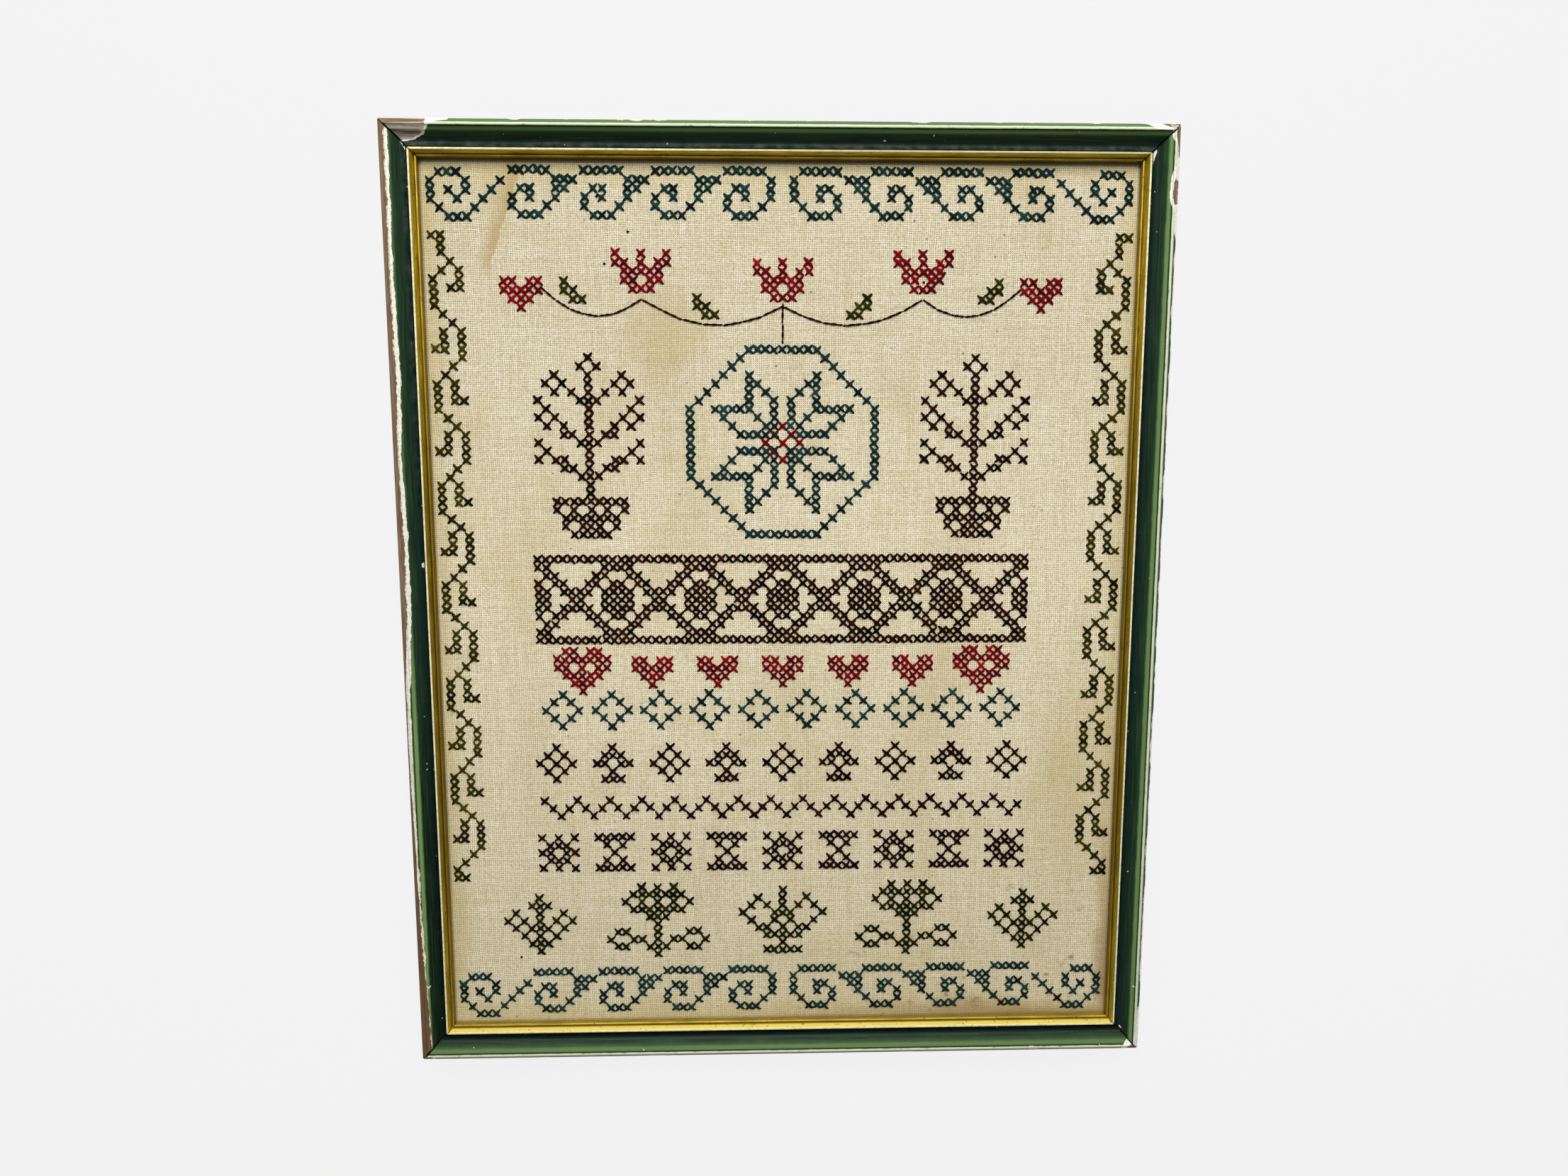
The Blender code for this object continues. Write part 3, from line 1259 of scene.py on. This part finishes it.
def inside_by(x, y, outline):
    """Millimetres inside an outline; negative outside it."""
    point = Vector((x, y))
    crossed = False
    nearest = 1e9
    for a, b in zip(outline, outline[1:] + outline[:1]):
        a, b = Vector(a), Vector(b)
        if (a.y > y) != (b.y > y) and x < a.x + (b.x - a.x) * (y - a.y) / (b.y - a.y):
            crossed = not crossed
        along = clamped((point - a).dot(b - a) / (b - a).length_squared)
        nearest = min(nearest, (a + (b - a) * along - point).length)
    return nearest if crossed else -nearest


def wander(position, pitch, seed, down=0.0):
    """Smooth noise from -1 to 1 along a side and down its outer face."""
    return noise.noise(Vector((position / pitch, seed, 0.5 + down / pitch)))


LEFT_GESSO = (
    (-181, 7.8), (-150, 8.6), (-120, 9.4), (-60, 9.8), (-27, 9.5), (0, 8.0), (27, 7.9), (60, 8.7),
    (90, 7.9), (130, 8.6), (181, 8.3),
)
LEFT_WOOD = (
    (-181, 8.0), (-150, 8.8), (-120, 9.7), (-60, 11.4), (-27, 11.3), (0, 9.2), (27, 9.1), (60, 9.7),
    (90, 9.2), (130, 9.7), (181, 9.4),
)


def level(stations, position):
    """The distance out at a position along the side, read between stations."""
    for (start, first), (end, last) in zip(stations, stations[1:]):
        if position <= end:
            return first + (last - first) * max(0.0, position - start) / (end - start)
    return stations[-1][1]


def stripped_edge(side, position, out, down):
    """Millimetres inside the stripped edge, for gesso and for wood. Down is measured on the outer face."""
    out -= down * (0.55 + 0.45 * wander(position, 14.0, 8.0, down))
    if side == "left":
        gesso = out - level(LEFT_GESSO, position) - 0.20 * wander(position, 11.0, 1.0)
        wood = out - level(LEFT_WOOD, position) - 0.20 * wander(position, 13.0, 3.0)
        flake = 0.22 * wander(position, 3.5, 2.0)
        return gesso - flake, wood + flake
    worn = {"top": 12.35, "right": 11.75, "bottom": 12.25}[side]
    gesso = out - worn - 0.9 * wander(position, 9.0, 5.0) - 0.4 * wander(position, 2.5, 6.0)
    return gesso, gesso - 0.9


def press_wear(bm, side):
    """Store how worn each point is, and sink it."""
    out = bm.verts.layers.float["out"]
    gesso_layer = bm.verts.layers.float.new("gesso")
    wood_layer = bm.verts.layers.float.new("wood")
    bm.normal_update()
    for vert in bm.verts:
        x, y = vert.co.x / MM, vert.co.y / MM
        gesso = wood = NEVER
        if vert.co.z > LEAST_Z and vert[out] > LEAST_OUT:
            position = y if side in ("left", "right") else x
            down = max(0.0, EDGE_Z - vert.co.z / MM) if vert[out] > OUTER_FACE_OUT else 0.0
            gesso, wood = stripped_edge(side, position, vert[out], down)
            spread = down * (0.5 + 0.4 * wander(position, 6.0, 9.0, down))
            for outline in GESSO_CHIPS[side]:
                gesso = max(gesso, inside_by(x, y, outline) - spread)
            for outline in WOOD_CHIPS[side]:
                wood = max(wood, inside_by(x, y, outline) - spread)
        vert[gesso_layer] = max(NEVER, gesso)
        vert[wood_layer] = max(NEVER, wood)
    for vert in bm.verts:
        sink = GESSO_SINK * clamped(vert[gesso_layer] / 0.5) + WOOD_SINK * clamped(vert[wood_layer] / 0.8)
        sink *= 1.0 - HELD_SHARE * clamped(vert[out] - HELD_FROM_OUT)
        vert.co -= vert.normal * sink * MM


# %% [markdown]
# Four layers lie over each other on a rail: wood, white gesso, green paint and the rubbed edges of the
# paint. The paint's colour follows the distance out from the opening: deep green in the hollow, lighter
# green on the slopes and almost bare on the crest, with a nearly black painted shadow in the step by the
# slip. Each rail has faded and gathered dust in its own way and faces the light in its own way, so masks
# say which rail a point is on, and some of them paint shade, highlights and sheen into the colour.

# %% Rail finish
DEEP_GREEN = shade(14, 35, 26)
HOLLOW_GREEN = shade(48, 72, 52)
MID_GREEN = shade(72, 98, 52)
FADED_GREEN = shade(118, 146, 92)
SLOPE_GREEN = shade(88, 112, 68)
RUBBED = shade(206, 216, 182)
GESSO = shade(244, 240, 229)
WOOD_BROWN = shade(130, 103, 74)
WOOD_GREY = shade(214, 204, 188)
WOOD_DARK = shade(84, 64, 46)

green_paint, paint_shader = finish("green_paint", 0.42)
paint_shader.inputs["Specular IOR Level"].default_value = 0.12
paint_place = node("TexCoord").outputs["Object"]
run = node("UVMap", uv_map="run").outputs["UV"]
out_mm = reading("out")
fine = minus(cloud(paint_place, 900.0, 4.0, 0.65), 0.5)
coarse = minus(cloud(paint_place, 260.0, 3.0), 0.5)
long_grain = streaks(run, (0.05, 1.6, 1.0), 4.0, 0.6)
wobble = plus(out_mm, times(coarse, 0.45))

# Which rail a point is on, parted at the mitres
paint_axes = node("SeparateXYZ", {0: paint_place})
paint_x = paint_axes.outputs["X"]
paint_y = paint_axes.outputs["Y"]
past_side = minus(absolute(paint_x), SIGHT_W / 2)
past_end = minus(absolute(paint_y), SIGHT_H / 2)
upright = calc("GREATER_THAN", past_side, past_end)
across = minus(1.0, upright)
right_side = times(upright, calc("GREATER_THAN", paint_x, 0.0))
left_side = minus(upright, right_side)
top_side = times(across, calc("GREATER_THAN", paint_y, 0.0))
bottom_side = minus(across, top_side)
low_left = times(fade(paint_y, 0.0, -0.120), left_side)
upper_left = times(left_side, fade(paint_y, 0.0, 0.110))
painted_highlight_run = times(fade(paint_y, 0.02, -0.05), left_side)

# Paint, from the hollow outwards, with painted light and shade on some rails
hollow_light = times(fade(wobble, 5.6, 8.4), 0.8)
paint = blend(hollow_light, DEEP_GREEN, HOLLOW_GREEN)
hollow = fade(wobble, 8.3, 7.6)
paint = blend(times(hollow, low_left, 0.75), paint, shade(4, 22, 12))
# Painted shade: the bottom rail's hollow beside the slip faces away from the light
bottom_hollow_painted_shade = times(fade(out_mm, 6.4, 5.2), bottom_side)
paint = blend(times(bottom_hollow_painted_shade, 0.75), paint, shade(6, 20, 13))
paint = blend(fade(wobble, 7.65, 8.15), paint, MID_GREEN)
# Painted light: the bottom rail's slope faces the light and is painted paler
bottom_slope_painted_light = times(fade(wobble, 6.6, 8.8), bottom_side)
paint = blend(times(bottom_slope_painted_light, 0.35), paint, shade(124, 152, 94))
faded = times(fade(wobble, 7.7, 8.3), right_side)
paint = blend(times(faded, 0.75), paint, FADED_GREEN)
paint = blend(fade(wobble, 9.9, 10.6), paint, SLOPE_GREEN)
# Painted shade: the right rail's outer slope is darkened as the side in shadow
right_slope_painted_shade = times(fade(out_mm, 10.7, 11.0), right_side)
paint = blend(times(right_slope_painted_shade, 0.95), paint, shade(22, 32, 22))
streaky = times(fade(long_grain, 0.42, 0.62), fade(out_mm, 4.6, 7.2))
paint = blend(times(streaky, 0.30), paint, shade(70, 104, 60))

# Dust and painted sheen in the hollow, the rubbed crest, painted highlights on the left rail, the outer
# face, painted shade in the quirk and the step, and white specks
# Dust and painted sheen: a pale band in the hollow by the slip, strongest on the top rail
dust_and_sheen_band = times(fade(out_mm, 6.2, 3.6), fade(coarse, -0.15, 0.3))
dust_and_sheen_share = plus(plus(0.05, times(top_side, 0.36)), times(upper_left, 0.24))
paint = blend(times(dust_and_sheen_band, dust_and_sheen_share), paint, shade(104, 110, 98))
crest = band(wobble, 9.45, 9.65, 10.35, 10.75)
rub_noise = fade(plus(fine, coarse), -0.42, -0.12)
paint = blend(times(crest, rub_noise), paint, RUBBED)
# Painted highlights: bright green bands on the left rail's inner slope and crest
inner_painted_highlight = band(wobble, 7.6, 8.2, 8.8, 9.3)
paint = blend(times(inner_painted_highlight, painted_highlight_run, 0.60), paint, shade(140, 172, 104))
left_crest_painted_highlight = times(fade(wobble, 8.9, 9.5), left_side)
paint = blend(times(left_crest_painted_highlight, 0.70), paint, shade(132, 164, 96))
outer_face = fade(out_mm, 12.02, 12.08)
paint = blend(times(outer_face, 0.8), paint, shade(38, 58, 38))
# Painted shade: a dark line where the quirk's groove would hold shadow
quirk = band(out_mm, 9.05, 9.28, 9.44, 9.58)
paint = blend(times(quirk, 0.85), paint, shade(22, 32, 18))
# Painted shadow: a nearly black line in the step beside the slip
step_painted_shadow = fade(out_mm, 3.34, 3.12)
paint = blend(times(step_painted_shadow, 0.9), paint, shade(10, 14, 8))
paint_speck = fade(cloud(paint_place, 700.0, 0.0), 0.865, 0.885)
paint = blend(times(paint_speck, 0.75), paint, GESSO)

# Bare wood: brown, weathered grey along the top
grain_dark = fade(streaks(run, (0.10, 2.3, 1.0), 5.0, 0.7), 0.44, 0.62)
weathered = fade(streaks(run, (0.04, 0.5, 1.0), 3.0), 0.36, 0.56)
grey_share = times(weathered, plus(0.10, times(top_side, 0.90)))
wood_tone = blend(grey_share, WOOD_BROWN, WOOD_GREY)
wood_tone = blend(times(grain_dark, 0.62), wood_tone, WOOD_DARK)
wood_tone = blend(times(low_left, 0.60), wood_tone, shade(98, 68, 34))

# What the chips lay bare, with ragged edges, and the shadow inside the open mitres
ragged = plus(times(fine, 0.9), times(coarse, 0.9))
gesso_mask = fade(plus(reading("gesso"), ragged), -0.05, 0.05)
wood_mask = fade(plus(reading("wood"), ragged), -0.05, 0.05)
unpainted_back = fade(paint_axes.outputs["Z"], 1.1 * MM, 0.6 * MM)
wood_mask = calc("MAXIMUM", wood_mask, unpainted_back)
gesso_tone = blend(fade(fine, -0.1, 0.3), GESSO, shade(196, 184, 158))
surface = blend(gesso_mask, paint, gesso_tone)
surface = blend(wood_mask, surface, wood_tone)
facing = node("SeparateXYZ", {0: node("NewGeometry").outputs["True Normal"]})
slanted = absolute(times(facing.outputs["X"], facing.outputs["Y"]))
mitre_face = fade(slanted, 0.30, 0.42)
surface = blend(mitre_face, surface, shade(34, 25, 18))
wire(surface, paint_shader.inputs["Base Color"])
bare = calc("MAXIMUM", gesso_mask, wood_mask)
dulled = plus(0.36, times(long_grain, 0.20))
wire(calc("MAXIMUM", dulled, times(bare, 0.85)), paint_shader.inputs["Roughness"])
relief = minus(times(fine, 0.10), times(gesso_mask, 0.5))
relief = minus(relief, times(wood_mask, 0.4))
relief = minus(relief, times(grain_dark, wood_mask, 0.25))
raise_by(paint_shader, relief, 0.7, 0.25 * MM)

# %% Rails
for side in SIDES:
    bm = swept_side(side, rail_section(), mitre_lip=0.45 * MM)
    press_wear(bm, side)
    rail = piece_from(bm, "moulding_" + side, green_paint, "rail_" + side)
    rail.data.set_sharp_from_angle(angle=math.radians(40.0))

# %% [markdown]
# The slip is gilded. Old gilding is metal over a warm ground, rubbed through in places and dulled by
# tarnish that gathers in its groove, with the fillet behind it painted cream. The metal share itself
# changes over the surface: the cream has none. The slip at the bottom faces the light, so its gilt face is
# painted brighter and less metallic and its groove darker, as painted light and shade; the side slips
# are painted darker along their middles as shade.

# %% Slip finish
old_gilding, gilt_shader = finish("old_gilding", 0.45, metallic=0.85)
gilt_place = node("TexCoord").outputs["Object"]
gilt_run = node("UVMap", uv_map="run").outputs["UV"]
gilt_out = reading("out")
tarnish_long = streaks(gilt_run, (0.09, 1.4, 1.0), 4.0, 0.65)
tarnish_fine = cloud(gilt_place, 650.0, 3.0)
gilt = blend(fade(tarnish_long, 0.38, 0.66), shade(218, 194, 70), shade(170, 142, 26))
gilt_axes = node("SeparateXYZ", {0: gilt_place})
side_run = absolute(plus(gilt_axes.outputs["Y"], 0.030))
at_side = fade(absolute(gilt_axes.outputs["X"]), 0.1305, 0.1325)
# Painted shade: the side slips are darker along their middles, as little light falls on their faces
side_painted_shade = times(fade(side_run, 0.150, 0.070), at_side)
gilt = blend(times(side_painted_shade, 0.62), gilt, shade(132, 108, 14))
painted_light_side = reading("painted_light_side")
# Painted light: the bottom slip's gilt face is painted brighter where it faces the light
face_painted_light = times(fade(gilt_out, 1.08, 1.25), 0.84)
gilt = blend(times(painted_light_side, face_painted_light), gilt, shade(252, 230, 118))
nick = fade(streaks(gilt_run, (0.5, 2.2, 1.0), 2.0), 0.70, 0.76)
gilt = blend(times(nick, 0.85), gilt, shade(58, 44, 10))
pits = fade(cloud(gilt_place, 820.0, 2.0), 0.63, 0.72)
gilt = blend(times(pits, 0.7), gilt, shade(92, 64, 10))
groove = band(gilt_out, 0.78, 0.95, 1.05, 1.22)
bead_side = fade(gilt_out, 0.38, 0.08)
gilt = blend(times(bead_side, 0.65), gilt, shade(112, 84, 14))
groove_tarnish_and_shade_share = plus(0.35, times(painted_light_side, 0.60))
# Tarnish and painted shade in the groove, darkest on the bottom slip beside its lit face
gilt = blend(times(groove, groove_tarnish_and_shade_share), gilt, shade(112, 82, 4))
fillet_wobble = plus(gilt_out, times(tarnish_fine, 0.10))
fillet = times(fade(fillet_wobble, 1.98, 2.06), fade(gilt_out, 2.66, 2.58))
cream = blend(fade(tarnish_fine, 0.4, 0.7), shade(240, 232, 194), shade(208, 198, 156))
at_top = fade(gilt_axes.outputs["Y"], 0.1685, 0.1700)
grime = times(at_top, fade(gilt_axes.outputs["X"], -0.12, 0.05))
cream = blend(times(grime, 0.6), cream, shade(150, 138, 92))
wire(blend(fillet, gilt, cream), gilt_shader.inputs["Base Color"])
metal_share = minus(0.85, times(painted_light_side, 0.55))
wire(times(minus(1.0, fillet), metal_share), gilt_shader.inputs["Metallic"])
gilt_rough = plus(0.38, times(tarnish_long, 0.26))
wire(calc("MAXIMUM", gilt_rough, times(fillet, 0.6)), gilt_shader.inputs["Roughness"])
raise_by(gilt_shader, plus(tarnish_fine, tarnish_long), 0.35, 0.10 * MM)

# %% Slips
for side in SIDES:
    bm = swept_side(side, slip_section(), mitre_lip=0.25 * MM)
    slip = piece_from(bm, "gilt_slip_" + side, old_gilding, "slip_" + side)
    slip.data.set_sharp_from_angle(angle=math.radians(50.0))

# %% [markdown]
# The board behind the cloth hides in the photograph. It is a thin plain board, sawn and left bare, so a
# box with eased edges is enough, and its grain runs up the picture.

# %% Backing board
board_low, board_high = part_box("backing_board")
bm = bmesh.new()
bmesh.ops.create_cube(bm, size=1.0)
bmesh.ops.scale(bm, vec=board_high - board_low, verts=bm.verts)
bmesh.ops.translate(bm, vec=(board_low + board_high) / 2, verts=bm.verts)
bmesh.ops.bevel(bm, geom=bm.edges[:], offset=0.4 * MM, affect="EDGES", segments=2, profile=0.5, material=-1)
backing_wood, board_shader = finish("backing_wood", 0.8)
board_place = node("TexCoord").outputs["Object"]
rings = streaks(board_place, (70.0, 5.0, 40.0), 5.0, 0.6)
pores = streaks(board_place, (1400.0, 60.0, 400.0), 3.0)
board_tone = blend(fade(rings, 0.35, 0.65), shade(158, 124, 88), shade(112, 82, 54))
pore_share = times(fade(pores, 0.5, 0.75), 0.45)
wire(blend(pore_share, board_tone, shade(74, 52, 34)), board_shader.inputs["Base Color"])
raise_by(board_shader, pores, 0.4, 0.15 * MM)
piece_from(bm, "backing", backing_wood, "backing_board")
